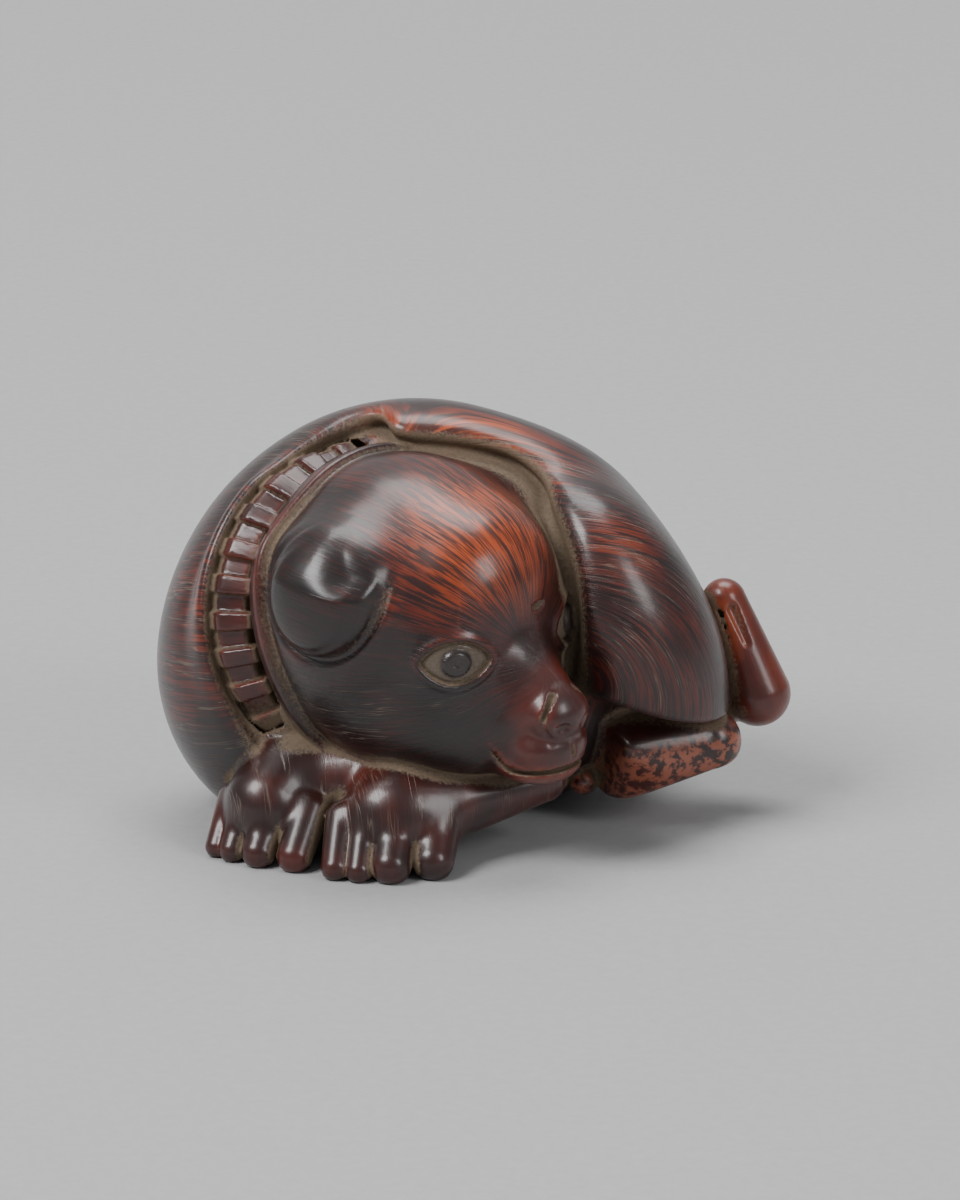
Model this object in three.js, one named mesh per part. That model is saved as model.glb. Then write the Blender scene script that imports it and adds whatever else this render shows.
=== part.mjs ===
// Netsuke: a puppy curled up in a pleated collar, carved from one piece of wood.
// One solid. The carving is a single distance field, built from rounded forms and
// joined or cut with a softened edge, then turned into a faceted closed surface.
// Millimetres, +Z up, +X to the tail, -Y to the side the face looks out of.
import * as THREE from 'three';

// ---------- driving sizes ----------
const TRIANGLES = 9600;      // most facets in the finished solid
const CELL = 0.46;           // sampling step of the field
const BOX_LOW = [-23, -15, -1.2];
const BOX_HIGH = [23, 17.5, 29.5];

// trunk, lying in a curl
const SHOULDER = { at: [-10.95, 2.5, 10.5], r: [10.35, 9.4, 11.8] };
const BACK = { at: [-3.9, 6, 15.1], r: [14.4, 9, 12.5] };
const RUMP = { at: [4.5, 4.5, 12.85], r: [9.3, 8, 11.3] };
const BELLY = { at: [-2, 6, 8.2], r: [11, 8, 9.6] };
const FAR_HAUNCH = { at: [6.2, 8.6, 8.6], r: [8, 5.9, 8.2] };
const TRUNK_BLEND = 4;
const THIGH = { at: [10.2, 0, 13.65], tilt: 64.2, r: [10.5, 6.5, 5.6], sole: [9.9, 0.3], blend: 2.4 };

// head: a ball with jaw and short muzzle, turned to the viewer's right
const HEAD = { at: [-4, -2, 15.8], yaw: 42, pitch: 6, roll: 3.5 };
const SKULL = { at: [-0.8, 0, 0.3], r: [9.9, 9.7, 9.7] };
const JOWL = { at: [-0.6, 0, -3.2], r: [8.7, 8.8, 7.4], blend: 2.5 };
const JAW = { at: [4, 0, -5.4], r: [7.4, 6.4, 4.6], blend: 3 };
const FOREHEAD = { at: [5.6, 0, 3.4], r: [3.9, 5.4, 4.6], blend: 3 };
const CHEEK = { at: [6.4, 3.6, -0.4], r: [2.6, 3.2, 3], blend: 2.5 };
const MUZZLE = { from: [4.5, 0, -2.3], to: [10.2, 0, -4.6], r: [5.6, 3.2], blend: 1.6 };
const BRIDGE = { from: [6, 0, -0.4], to: [12.2, 0, -3], r: [3.4, 1.9], blend: 1.4 };
const NOSE = { at: [12.9, 0, -3.5], r: [1.8, 2.35, 1.85], blend: 0.35 };
const LIP = { at: [12.2, 0, -5.8], r: [2.3, 2.9, 1.8], blend: 0.6 };
const TEMPLE = { at: [-0.2, 7.9, 2.8], r: [4.6, 2.1, 4.4], blend: 3.4 };
const EAR = { at: [0.5, 4], half: [3.9, 4.3], lift: 1.25, from: 4.4, front: 5.8, back: 8.6 };
const EYE = { at: [8.3, 5.1, 0.3], half: 2.2, tall: 1.4, turn: 34, rim: 0.22, deep: 0.3 };
const NOSTRIL = { at: [14.55, 1.2, -3.9], r: [0.5, 0.75, 0.45], blend: 0.3 };
const CHIN = { at: [10.9, 0, -7.1], r: [3.4, 3, 1.7], blend: 0.8 };
const MOUTH = { low: [11.6, -7.2], curl: [0.7, 0.05], from: 9.6, width: 0.2, depth: 0.4 };

// collar: a smooth band and a box-pleated frill in a hollow behind the head
const RING = { at: [-7.77, 2.36, 14.66], yaw: 50, pitch: -9.7, oval: 0.92 };
const FRILL = { radius: 10.3, pleats: 25, start: -51, out: 1, front: 1.35, rim: 1.25, step: 0.6,
  bed: 1.7, end: -6 };
const BAND = { stand: 0.65, forward: 2.85, half: 0.85 };
const HOLLOW = { radius: 12.1, tube: 1, forward: 1.1, blend: 2 };
const GATHER = { radius: 10.9, tube: 1.2, back: -1.4, blend: 1.6 };   // coat bunched behind it

// limbs: front toes as [x, y, radius], then wrists and forearms
const RIGHT_TOES = [[-9.1, -11.5, 0.95], [-7.55, -12, 0.9], [-5.45, -12, 1.35], [-2.7, -11.2, 1.4]];
const LEFT_TOES = [[-17, -7, 0.8], [-15.95, -7.9, 0.9], [-14.2, -8.9, 1.15], [-11.8, -9.8, 1.2]];
const TOE = { back: 2.6, rise: 3.3, blend: 0.2 };
const HIND_FOOT = { toe: [10.1, -0.3, 5.1], heel: [15.8, 0.4, 5.6], r: [3.5, 2.1],
  facets: [{ n: [-0.83, -0.53, -0.12], at: -7.2 }, { n: [0.27, 0, -0.963], at: 0.8 },
    { n: [-0.05, -0.9, -0.43], at: 0.3 }, { n: [-0.04, -0.45, 0.89], at: 7.2 }] };
const HIND_TOES = [[5.4, 0.4, 2.9], [7.3, 0.2, 2.8]];
const TAIL = { top: [16.8, 5, 14], low: [19.1, 4.2, 7.7], r: [1.5, 2.25], web: 0.4,
  locks: [[[17.3, 3.5, 13.8], [18.3, 2.9, 11.6]], [[16.6, 3.9, 13.6], [17.6, 3.1, 10.6]]] };

const FILL = 1.4;            // depth of the valley between head and trunk
const GAP = 0.6;             // width of that valley
const GAP_EDGE = 2;          // how far its edge is rounded over
// cord holes: two openings in the underside joined by a bent tunnel
const CORD = { wide: [-4.5, 7.5], wideR: 3.5, narrow: [4.8, 9.2], narrowR: 1.8, deep: 6 };

// ---------- small helpers ----------
const { sin, cos, abs, max, min, PI } = Math;
const hypot = (x, y, z = 0) => Math.sqrt(x * x + y * y + z * z);
const rad = PI / 180;
const clamp = (x, a, b) => max(a, min(b, x));
const mix = (a, b, t) => a + (b - a) * t;
const smooth = (a, b, x) => {
  const t = clamp((x - a) / (b - a), 0, 1);
  return t * t * (3 - 2 * t);
};
const dot = (a, b) => a[0] * b[0] + a[1] * b[1] + a[2] * b[2];

// a local frame: forward starts along +X, near side along -Y, up along +Z
function frame(centre, yaw = 0, pitch = 0, roll = 0) {
  const cy = cos(yaw * rad), sy = sin(yaw * rad);
  const cp = cos(pitch * rad), sp = sin(pitch * rad);
  const cr = cos(roll * rad), sr = sin(roll * rad);
  const f = [cy * cp, -sy * cp, -sp];
  const s0 = [-sy, -cy, 0];
  const u0 = [cy * sp, -sy * sp, cp];
  const s = s0.map((v, i) => v * cr - u0[i] * sr);
  const u = s0.map((v, i) => v * sr + u0[i] * cr);
  return { centre, f, s, u };
}
function local(p, F) {
  const q = [p[0] - F.centre[0], p[1] - F.centre[1], p[2] - F.centre[2]];
  return [dot(q, F.f), dot(q, F.s), dot(q, F.u)];
}
function ellipsoid(p, c, r) {
  const x = p[0] - c[0], y = p[1] - c[1], z = p[2] - c[2];
  const k0 = hypot(x / r[0], y / r[1], z / r[2]);
  const k1 = hypot(x / (r[0] * r[0]), y / (r[1] * r[1]), z / (r[2] * r[2]));
  return k1 < 1e-9 ? -min(r[0], r[1], r[2]) : (k0 * (k0 - 1)) / k1;
}
const blob = (p, form) => ellipsoid(p, form.at, form.r);
// a rounded limb between two points, its radius changing from ra to rb
function limb(p, a, b, ra, rb) {
  const ab = [b[0] - a[0], b[1] - a[1], b[2] - a[2]];
  const ap = [p[0] - a[0], p[1] - a[1], p[2] - a[2]];
  const t = clamp(dot(ap, ab) / dot(ab, ab), 0, 1);
  return hypot(ap[0] - ab[0] * t, ap[1] - ab[1] * t, ap[2] - ab[2] * t) - mix(ra, rb, t);
}
function join(a, b, k) {
  const h = max(k - abs(a - b), 0) / k;
  return min(a, b) - (h * h * k) / 4;
}
const cut = (a, b, k) => -join(-a, b, k);
const meet = (a, b, k) => -join(-a, -b, k);
const groove = (d, off, width, depth) => max(d, min(width - abs(off), d + depth));

// ---------- the carving ----------
const HEAD_FRAME = frame(HEAD.at, HEAD.yaw, HEAD.pitch, HEAD.roll);
const THIGH_FRAME = frame(THIGH.at, 0, THIGH.tilt, 0);
const RING_FRAME = frame(RING.at, RING.yaw, RING.pitch, 0);

// depth carved round the eye: an almond outline with the ball left standing inside it
const EYE_FRAME = frame(EYE.at, -EYE.turn, 0, 0);
function eyeRelief(m) {
  const e = local([m[0], m[1], m[2]], EYE_FRAME);
  if (abs(e[0]) > 3) return 0;
  const radius = (EYE.half * EYE.half + EYE.tall * EYE.tall) / (2 * EYE.tall);
  const sink = radius - EYE.tall;
  const lens = max(hypot(e[1], e[2] + sink), hypot(e[1], e[2] - sink)) - radius;
  const line = EYE.deep * Math.exp(-(lens * lens) / (EYE.rim * EYE.rim));
  return line - 0.15 * smooth(0, 0.8, -lens);
}

// height of the drop ear over the temple: a steep rim below, melting into the skull above
function earRelief(m) {
  if (m[1] < 3) return 0;
  const e = hypot((m[0] - EAR.at[0]) / EAR.half[0], (m[2] - EAR.at[1]) / EAR.half[1]);
  if (e >= 1) return 0;
  const top = mix(EAR.back, EAR.front, smooth(0, 3, m[0]));
  return EAR.lift * Math.sqrt(1 - e * e * e) * (1 - smooth(EAR.from, top, m[2]));
}

// the smooth head, and the same head with its ears, eyes, nostrils and mouth carved
function head(p) {
  const q = local(p, HEAD_FRAME);
  const m = [q[0], abs(q[1]), q[2]];
  let d = blob(q, SKULL);
  d = join(d, blob(q, JOWL), JOWL.blend);
  d = join(d, blob(q, JAW), JAW.blend);
  d = join(d, blob(q, FOREHEAD), FOREHEAD.blend);
  d = join(d, blob(m, CHEEK), CHEEK.blend);
  d = join(d, limb(q, MUZZLE.from, MUZZLE.to, MUZZLE.r[0], MUZZLE.r[1]), MUZZLE.blend);
  d = join(d, limb(q, BRIDGE.from, BRIDGE.to, BRIDGE.r[0], BRIDGE.r[1]), BRIDGE.blend);
  d = join(d, blob(q, LIP), LIP.blend);
  d = join(d, blob(q, CHIN), CHIN.blend);
  d = join(d, blob(q, NOSE), NOSE.blend);
  d = join(d, blob(m, TEMPLE), TEMPLE.blend);
  const plain = d;
  d += eyeRelief(m) - earRelief(m);
  d = cut(d, blob(m, NOSTRIL), NOSTRIL.blend);
  const along = q[0] - MOUTH.low[0];
  const line = q[2] - MOUTH.low[1] - MOUTH.curl[along < 0 ? 0 : 1] * along * along;
  const reach = mix(-0.4, MOUTH.width, smooth(MOUTH.from, MOUTH.from + 1, q[0]));
  return [plain, groove(d, line, reach, MOUTH.depth)];
}

function trunk(p) {
  let d = blob(p, SHOULDER);
  d = join(d, blob(p, BACK), TRUNK_BLEND);
  d = join(d, blob(p, RUMP), TRUNK_BLEND);
  d = join(d, blob(p, BELLY), TRUNK_BLEND);
  d = join(d, blob(p, FAR_HAUNCH), 1.6);
  let t = ellipsoid(local(p, THIGH_FRAME), [0, 0, 0], THIGH.r);
  t = meet(t, THIGH.sole[0] - THIGH.sole[1] * (p[0] - 9) - p[2], 0.8);
  return join(d, t, THIGH.blend);
}

const fromAxis = (q) => hypot(q[1], q[2] / RING.oval);
const tube = (q, radius, r, forward = 0) => hypot(fromAxis(q) - radius, q[0] - forward) - r;

// box pleats: a roof-shaped ring whose pleats stand up in turn, each with its own step
function frill(q) {
  const x = fromAxis(q) - FRILL.radius;
  const y = q[0];
  const angle = Math.atan2(q[2] / RING.oval, q[1]);
  const uneven = 0.05 * Math.exp(-(((angle - 0.75) / 0.6) ** 2));
  const raised = 0.5 + 0.5 * clamp(4 * sin(FRILL.pleats * (angle + uneven) + FRILL.start * rad), -1, 1);
  const lift = FRILL.step * (raised - 0.8);
  let d = meet(0.8 * x + 0.6 * y - FRILL.out - lift, 0.87 * y - 0.5 * x - FRILL.front - lift, 0.35);
  d = meet(d, x - 0.3 * y - FRILL.rim - 0.25 * raised, 0.3);
  return max(d, -y - 2.5, -x - 2.5, FRILL.end - q[1]);
}

function toes(p, list, lean) {
  let d = 1e3;
  for (const [x, y, r] of list) {
    const knuckle = [x - lean[0] * TOE.back, y - lean[1] * TOE.back, TOE.rise];
    d = join(d, limb(p, [x, y, r * 0.8], knuckle, r, r * 1.15), TOE.blend);
  }
  return d;
}

function forelimbs(p) {
  let d = toes(p, RIGHT_TOES, [-0.15, -1]);
  d = join(d, limb(p, [-5.6, -8.4, 3.5], [-3.6, -5, 5.4], 3, 3.2), 0.8);
  d = join(d, limb(p, [-4.2, -8, 3.6], [4.6, -5.2, 4.6], 3.1, 1.4), 1);
  let e = toes(p, LEFT_TOES, [-0.35, -0.9]);
  e = join(e, limb(p, [-13.6, -6, 3.4], [-11.8, -3.5, 5.2], 2.9, 3.2), 0.8);
  d = join(d, e, 0.15);
  return join(d, limb(p, [-12, -4.4, 4.6], [-5.5, -5.2, 5], 2.6, 2.8), 0.8);
}

function hindFoot(p) {
  let d = limb(p, HIND_FOOT.toe, HIND_FOOT.heel, HIND_FOOT.r[0], HIND_FOOT.r[1]);
  for (const side of HIND_FOOT.facets) d = meet(d, dot(side.n, p) - side.at, 0.6);
  for (const toe of HIND_TOES) {
    d = join(d, limb(p, toe, [toe[0] + 0.6, 4, 4], 0.95, 1.6), 0.2);
  }
  return d;
}

function tail(p) {
  let d = limb(p, TAIL.top, TAIL.low, TAIL.r[0], TAIL.r[1]);
  for (const line of TAIL.locks) d = cut(d, limb(p, line[0], line[1], 0.3, 0.15), 0.3);
  return join(d, limb(p, [15.2, 5.8, 12.9], [16.8, 5.2, 7.4], 1.5, 2.2), TAIL.web);
}

// the tunnel runs up from each opening and bends across between them
function cordHoles(p) {
  const [wx, wy] = CORD.wide;
  const [nx, ny] = CORD.narrow;
  const wide = limb(p, [wx, wy, -2], [wx, wy, CORD.deep], CORD.wideR, CORD.wideR);
  const narrow = limb(p, [nx, ny, -2], [nx, ny, 4], CORD.narrowR, CORD.narrowR);
  const bend = limb(p, [wx, wy, CORD.deep], [nx, ny, 4], CORD.narrowR, CORD.narrowR);
  return min(wide, narrow, bend);
}

function field(p) {
  const [plain, h] = head(p);
  const q = local(p, RING_FRAME);
  const whole = trunk(p);
  const shown = smooth(-8, -1, q[1]);
  const gather = GATHER.tube * smooth(1, 7, q[1]);
  let d = join(whole, tube(q, GATHER.radius, gather, GATHER.back), GATHER.blend);
  d = cut(d, tube(q, HOLLOW.radius, HOLLOW.tube * shown, HOLLOW.forward), HOLLOW.blend * shown + 0.01);
  const bed = tube(q, FRILL.radius, FRILL.bed * smooth(FRILL.end - 2, FRILL.end + 6, q[1]));
  d = cut(d, bed, 1);
  d = cut(d, plain - GAP, GAP_EDGE);
  d = join(d, limb(p, [-4, -2, 14], [-10, 5, 13], 8, 8.5), 0.4);
  d = join(d, max(whole + FILL, -bed), 0.3);
  d = join(d, frill(q), 0.15);
  const band = meet(h - BAND.stand, abs(q[0] - BAND.forward) - BAND.half, 0.5);
  d = join(d, band, 0.15);
  d = join(d, h, 0.35);
  d = join(d, hindFoot(p), 0.3);
  d = join(d, tail(p), 0.3);
  d = join(d, forelimbs(p), 0.3);
  d = cut(d, cordHoles(p), 0.3);
  return meet(d, -p[2], 0.2);
}
// ---------- surface ----------
// Samples of the field at the grid points. Where a coarse block lies well clear of the
// surface, its one reading stands for all its points.
function sampleField(counts) {
  const [nx, ny, nz] = counts;
  const values = new Float32Array(nx * ny * nz);
  const block = 4;
  const clear = (block / 2 + 1) * CELL * 1.75 * 1.4;
  const at = (i, j, k) => [BOX_LOW[0] + i * CELL, BOX_LOW[1] + j * CELL, BOX_LOW[2] + k * CELL];
  for (let K = 0; K < nz; K += block) {
    for (let J = 0; J < ny; J += block) {
      for (let I = 0; I < nx; I += block) {
        const mid = field(at(I + 1.5, J + 1.5, K + 1.5));
        for (let k = K; k < min(nz, K + block); k++) {
          for (let j = J; j < min(ny, J + block); j++) {
            for (let i = I; i < min(nx, I + block); i++) {
              const v = abs(mid) > clear ? mid : field(at(i, j, k));
              const least = 0.05 * CELL;
              values[i + nx * (j + ny * k)] = v < 0 ? min(v, -least) : max(v, least);
            }
          }
        }
      }
    }
  }
  return values;
}

// Each grid cube is cut into six tetrahedra round its long diagonal. The facets across
// the tetrahedra always close up, whatever the field does.
function polygonise() {
  const counts = [0, 1, 2].map((a) => Math.ceil((BOX_HIGH[a] - BOX_LOW[a]) / CELL) + 1);
  const [nx, ny, nz] = counts;
  const values = sampleField(counts);
  const step = [0, 1, nx, nx + 1, nx * ny, nx * ny + 1, nx * ny + nx, nx * ny + nx + 1];
  const tetrahedra = [[0, 1, 3, 7], [0, 3, 2, 7], [0, 2, 6, 7], [0, 6, 4, 7], [0, 4, 5, 7],
    [0, 5, 1, 7]];
  const points = [];
  const faces = [];
  const onEdge = new Map();
  const position = (n) => {
    const i = n % nx, j = Math.floor(n / nx) % ny, k = Math.floor(n / (nx * ny));
    return [BOX_LOW[0] + i * CELL, BOX_LOW[1] + j * CELL, BOX_LOW[2] + k * CELL];
  };
  const crossing = (a, b) => {
    const lo = min(a, b), hi = max(a, b);
    const key = lo * 8 + step.indexOf(hi - lo);
    let id = onEdge.get(key);
    if (id === undefined) {
      const t = values[lo] / (values[lo] - values[hi]);
      const p = position(lo), q = position(hi);
      id = points.length;
      points.push(p.map((v, c) => mix(v, q[c], t)));
      onEdge.set(key, id);
    }
    return id;
  };
  for (let k = 0; k < nz - 1; k++) {
    for (let j = 0; j < ny - 1; j++) {
      for (let i = 0; i < nx - 1; i++) {
        const base = i + nx * (j + ny * k);
        let inside = 0;
        for (const s of step) inside += values[base + s] < 0 ? 1 : 0;
        if (inside === 0 || inside === 8) continue;
        for (const tet of tetrahedra) {
          const n = tet.map((c) => base + step[c]);
          const low = n.filter((c) => values[c] < 0);
          const high = n.filter((c) => values[c] >= 0);
          if (low.length === 0 || high.length === 0) continue;
          let ring;
          if (low.length === 1) ring = high.map((h) => crossing(low[0], h));
          else if (high.length === 1) ring = low.map((l) => crossing(l, high[0]));
          else {
            ring = [crossing(low[0], high[0]), crossing(low[0], high[1]),
              crossing(low[1], high[1]), crossing(low[1], high[0])];
          }
          const [a, b, c] = ring.map((v) => points[v]);
          const u = [b[0] - a[0], b[1] - a[1], b[2] - a[2]];
          const v = [c[0] - a[0], c[1] - a[1], c[2] - a[2]];
          const normal = [u[1] * v[2] - u[2] * v[1], u[2] * v[0] - u[0] * v[2],
            u[0] * v[1] - u[1] * v[0]];
          const from = position(low[0]), to = position(high[0]);
          const out = dot(normal, [to[0] - from[0], to[1] - from[1], to[2] - from[2]]);
          if (out < 0) ring.reverse();
          faces.push([ring[0], ring[1], ring[2]]);
          if (ring.length === 4) faces.push([ring[0], ring[2], ring[3]]);
        }
      }
    }
  }
  return { points, faces };
}

// keeps the outer skin and drops any closed pocket inside it
function outerSkin({ points, faces }) {
  const parent = points.map((_, i) => i);
  const root = (i) => {
    while (parent[i] !== i) {
      parent[i] = parent[parent[i]];
      i = parent[i];
    }
    return i;
  };
  for (const [a, b, c] of faces) {
    parent[root(a)] = root(b);
    parent[root(b)] = root(c);
  }
  const volume = new Map();
  for (const [a, b, c] of faces) {
    const [p, q, r] = [points[a], points[b], points[c]];
    const v = p[0] * (q[1] * r[2] - q[2] * r[1]) + p[1] * (q[2] * r[0] - q[0] * r[2])
      + p[2] * (q[0] * r[1] - q[1] * r[0]);
    volume.set(root(a), (volume.get(root(a)) || 0) + v);
  }
  const [best] = [...volume.entries()].sort((a, b) => b[1] - a[1])[0];
  return { points, faces: faces.filter((f) => root(f[0]) === best) };
}

// ---------- fewer facets: edges are folded away where the surface changes least ----------
function simplify({ points, faces }, target) {
  const P = points.map((p) => p.slice());
  const Q = P.map(() => new Float64Array(10));
  const around = P.map(() => new Set());
  const stamp = new Int32Array(P.length);
  const cross = (a, b, c) => {
    const u = [b[0] - a[0], b[1] - a[1], b[2] - a[2]];
    const v = [c[0] - a[0], c[1] - a[1], c[2] - a[2]];
    return [u[1] * v[2] - u[2] * v[1], u[2] * v[0] - u[0] * v[2], u[0] * v[1] - u[1] * v[0]];
  };
  faces.forEach((f, id) => {
    const n = cross(P[f[0]], P[f[1]], P[f[2]]);
    const size = hypot(...n) || 1e-12;
    const m = n.map((v) => v / size);
    const w = -dot(m, P[f[0]]);
    const plane = [m[0], m[1], m[2], w];
    for (const v of f) {
      around[v].add(id);
      let e = 0;
      for (let i = 0; i < 4; i++) {
        for (let j = i; j < 4; j++) {
          Q[v][e] += (plane[i] * plane[j] * size) / 2;
          e += 1;
        }
      }
    }
  });
  const error = (q, p) => {
    const [x, y, z] = p;
    return q[0] * x * x + 2 * q[1] * x * y + 2 * q[2] * x * z + 2 * q[3] * x + q[4] * y * y
      + 2 * q[5] * y * z + 2 * q[6] * y + q[7] * z * z + 2 * q[8] * z + q[9];
  };
  const plan = (a, b) => {
    const q = Q[a].map((v, i) => v + Q[b][i]);
    const A = P[a], B = P[b];
    const middle = [0, 1, 2].map((i) => (A[i] + B[i]) / 2);
    const eps = 1e-4 * (q[0] + q[4] + q[7]) + 1e-9;
    const [m00, m01, m02] = [q[0] + eps, q[1], q[2]];
    const [m11, m12, m22] = [q[4] + eps, q[5], q[7] + eps];
    const r = [eps * middle[0] - q[3], eps * middle[1] - q[6], eps * middle[2] - q[8]];
    const c0 = m11 * m22 - m12 * m12, c1 = m02 * m12 - m01 * m22, c2 = m01 * m12 - m02 * m11;
    const det = m00 * c0 + m01 * c1 + m02 * c2;
    const d0 = m00 * m22 - m02 * m02, d1 = m01 * m02 - m00 * m12, e0 = m00 * m11 - m01 * m01;
    let spot = middle;
    if (abs(det) > 1e-18) {
      spot = [(c0 * r[0] + c1 * r[1] + c2 * r[2]) / det, (c1 * r[0] + d0 * r[1] + d1 * r[2]) / det,
        (c2 * r[0] + d1 * r[1] + e0 * r[2]) / det];
    }
    const length = hypot(A[0] - B[0], A[1] - B[1], A[2] - B[2]);
    const off = hypot(spot[0] - middle[0], spot[1] - middle[1], spot[2] - middle[2]);
    if (off > 1.5 * length) spot = middle;
    return { a, b, spot, cost: error(q, spot) + 1e-5 * length * length * length };
  };
  // a binary heap of folds, cheapest first
  const heap = [];
  const push = (item) => {
    let i = heap.length;
    heap.push(item);
    while (i > 0) {
      const up = (i - 1) >> 1;
      if (heap[up].cost <= heap[i].cost) break;
      [heap[up], heap[i]] = [heap[i], heap[up]];
      i = up;
    }
  };
  const pop = () => {
    const top = heap[0];
    const last = heap.pop();
    if (heap.length > 0) {
      heap[0] = last;
      let i = 0;
      for (;;) {
        const l = 2 * i + 1;
        const r = l + 1;
        let least = i;
        if (l < heap.length && heap[l].cost < heap[least].cost) least = l;
        if (r < heap.length && heap[r].cost < heap[least].cost) least = r;
        if (least === i) break;
        [heap[least], heap[i]] = [heap[i], heap[least]];
        i = least;
      }
    }
    return top;
  };
  const neighbours = (v) => {
    const set = new Set();
    for (const id of around[v]) for (const w of faces[id]) if (w !== v) set.add(w);
    return set;
  };
  const queue = (a, b) => {
    const item = plan(a, b);
    item.mark = stamp[a] + stamp[b];
    push(item);
  };
  const turns = (v, other, spot) => {
    for (const id of around[v]) {
      const f = faces[id];
      if (f.includes(other)) continue;
      const before = cross(...f.map((w) => P[w]));
      const after = cross(...f.map((w) => (w === v ? spot : P[w])));
      const size = hypot(...before) * hypot(...after);
      if (hypot(...after) < 2e-4 || dot(before, after) < 0.25 * size) return true;
    }
    return false;
  };
  const alive = new Uint8Array(P.length).fill(1);
  const live = faces.map(() => true);
  let left = faces.length;
  for (const f of faces) {
    for (let e = 0; e < 3; e++) {
      const a = f[e];
      const b = f[(e + 1) % 3];
      if (a < b) queue(a, b);
    }
  }
  while (left > target && heap.length > 0) {
    const item = pop();
    const { a, b, spot } = item;
    if (!alive[a] || !alive[b] || item.mark !== stamp[a] + stamp[b]) continue;
    const na = neighbours(a);
    const nb = neighbours(b);
    if (!na.has(b)) continue;
    let shared = 0;
    for (const v of na) if (nb.has(v)) shared += 1;
    if (shared !== 2 || turns(a, b, spot) || turns(b, a, spot)) continue;
    P[a] = spot;
    Q[a] = Q[a].map((v, i) => v + Q[b][i]);
    alive[b] = 0;
    for (const id of [...around[b]]) {
      const f = faces[id];
      if (f.includes(a)) {
        live[id] = false;
        left -= 1;
        for (const v of f) around[v].delete(id);
      } else {
        faces[id] = f.map((v) => (v === b ? a : v));
        around[a].add(id);
      }
    }
    stamp[a] += 1;
    for (const v of neighbours(a)) queue(min(v, a), max(v, a));
  }
  return { points: P, faces: faces.filter((_, id) => live[id]) };
}

function carve() {
  const { points, faces } = simplify(outerSkin(polygonise()), TRIANGLES);
  const used = new Map();
  const position = [];
  const index = faces.flat().map((v) => {
    if (!used.has(v)) {
      used.set(v, used.size);
      const [x, y, z] = points[v];
      position.push(x, y, abs(z) < 0.05 ? 0 : z);   // the base is flat
    }
    return used.get(v);
  });
  const geometry = new THREE.BufferGeometry();
  geometry.setAttribute('position', new THREE.Float32BufferAttribute(position, 3));
  geometry.setIndex(index);
  geometry.computeBoundingBox();
  const { min: low, max: high } = geometry.boundingBox;
  geometry.translate(-(low.x + high.x) / 2, -(low.y + high.y) / 2, -low.z);
  geometry.computeVertexNormals();
  return geometry;
}

const stained = new THREE.MeshStandardMaterial({ color: 0x6b2216, roughness: 0.35, metalness: 0 });
const netsuke = new THREE.Mesh(carve(), stained);
netsuke.name = 'netsuke';
const group = new THREE.Group();
group.name = 'netsuke_puppy';
group.add(netsuke);
export default group;
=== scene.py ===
# Netsuke: a curled puppy in a pleated collar, carved from one piece of stained wood.
# The carving is one distance field, in millimetres in the carving's own coordinates. It is
# sampled near its surface, turned into a mesh, and sized and placed from the CAD frame.
import math
import bpy
import numpy as np
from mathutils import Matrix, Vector


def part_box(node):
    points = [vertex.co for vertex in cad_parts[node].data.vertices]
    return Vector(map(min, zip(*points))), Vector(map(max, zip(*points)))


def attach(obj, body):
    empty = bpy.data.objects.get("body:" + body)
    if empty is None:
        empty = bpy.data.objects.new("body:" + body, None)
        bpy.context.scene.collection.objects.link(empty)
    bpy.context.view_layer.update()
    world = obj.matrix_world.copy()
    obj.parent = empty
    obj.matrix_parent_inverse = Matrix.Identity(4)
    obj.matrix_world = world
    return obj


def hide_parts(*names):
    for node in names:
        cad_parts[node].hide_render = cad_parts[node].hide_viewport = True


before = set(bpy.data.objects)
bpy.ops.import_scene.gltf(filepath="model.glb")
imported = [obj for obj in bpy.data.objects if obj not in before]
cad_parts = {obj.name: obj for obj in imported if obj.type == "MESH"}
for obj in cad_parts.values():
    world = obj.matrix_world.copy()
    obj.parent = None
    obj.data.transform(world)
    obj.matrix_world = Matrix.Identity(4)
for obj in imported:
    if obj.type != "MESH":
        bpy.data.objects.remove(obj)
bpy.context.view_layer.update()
node_low, node_high = [np.array(v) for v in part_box("netsuke")]

STEP = 0.16           # finest sampling, mm
MOST_TRIANGLES = 196000
BOX_LOW = np.array([-23.0, -15.0, -1.2])
BOX_HIGH = np.array([23.0, 17.5, 29.5])
RAD = math.pi / 180


# ---------- helpers ----------
def smooth(a, b, x):
    t = np.clip((x - a) / (b - a), 0, 1)
    return t * t * (3 - 2 * t)


def mix(a, b, t):
    return a + (b - a) * t


def local_axes(centre, yaw=0, pitch=0, roll=0):
    cy, sy = math.cos(yaw * RAD), math.sin(yaw * RAD)
    cp, sp = math.cos(pitch * RAD), math.sin(pitch * RAD)
    cr, sr = math.cos(roll * RAD), math.sin(roll * RAD)
    f = np.array([cy * cp, -sy * cp, -sp])
    s0 = np.array([-sy, -cy, 0])
    u0 = np.array([cy * sp, -sy * sp, cp])
    return np.array(centre, float), np.array([f, s0 * cr - u0 * sr, s0 * sr + u0 * cr])


def local(p, axes):
    return (p - axes[0]) @ axes[1].T


def length(*parts):
    total = 0
    for part in parts:
        total = total + part * part
    return np.sqrt(total)


def ellipsoid(p, at, r):
    q = p - np.array(at, float)
    r = np.array(r, float)
    a = q / r
    k0 = np.sqrt((a * a).sum(1))
    b = a / r
    k1 = np.sqrt((b * b).sum(1)) + 1e-9
    return k0 * (k0 - 1) / k1


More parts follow.
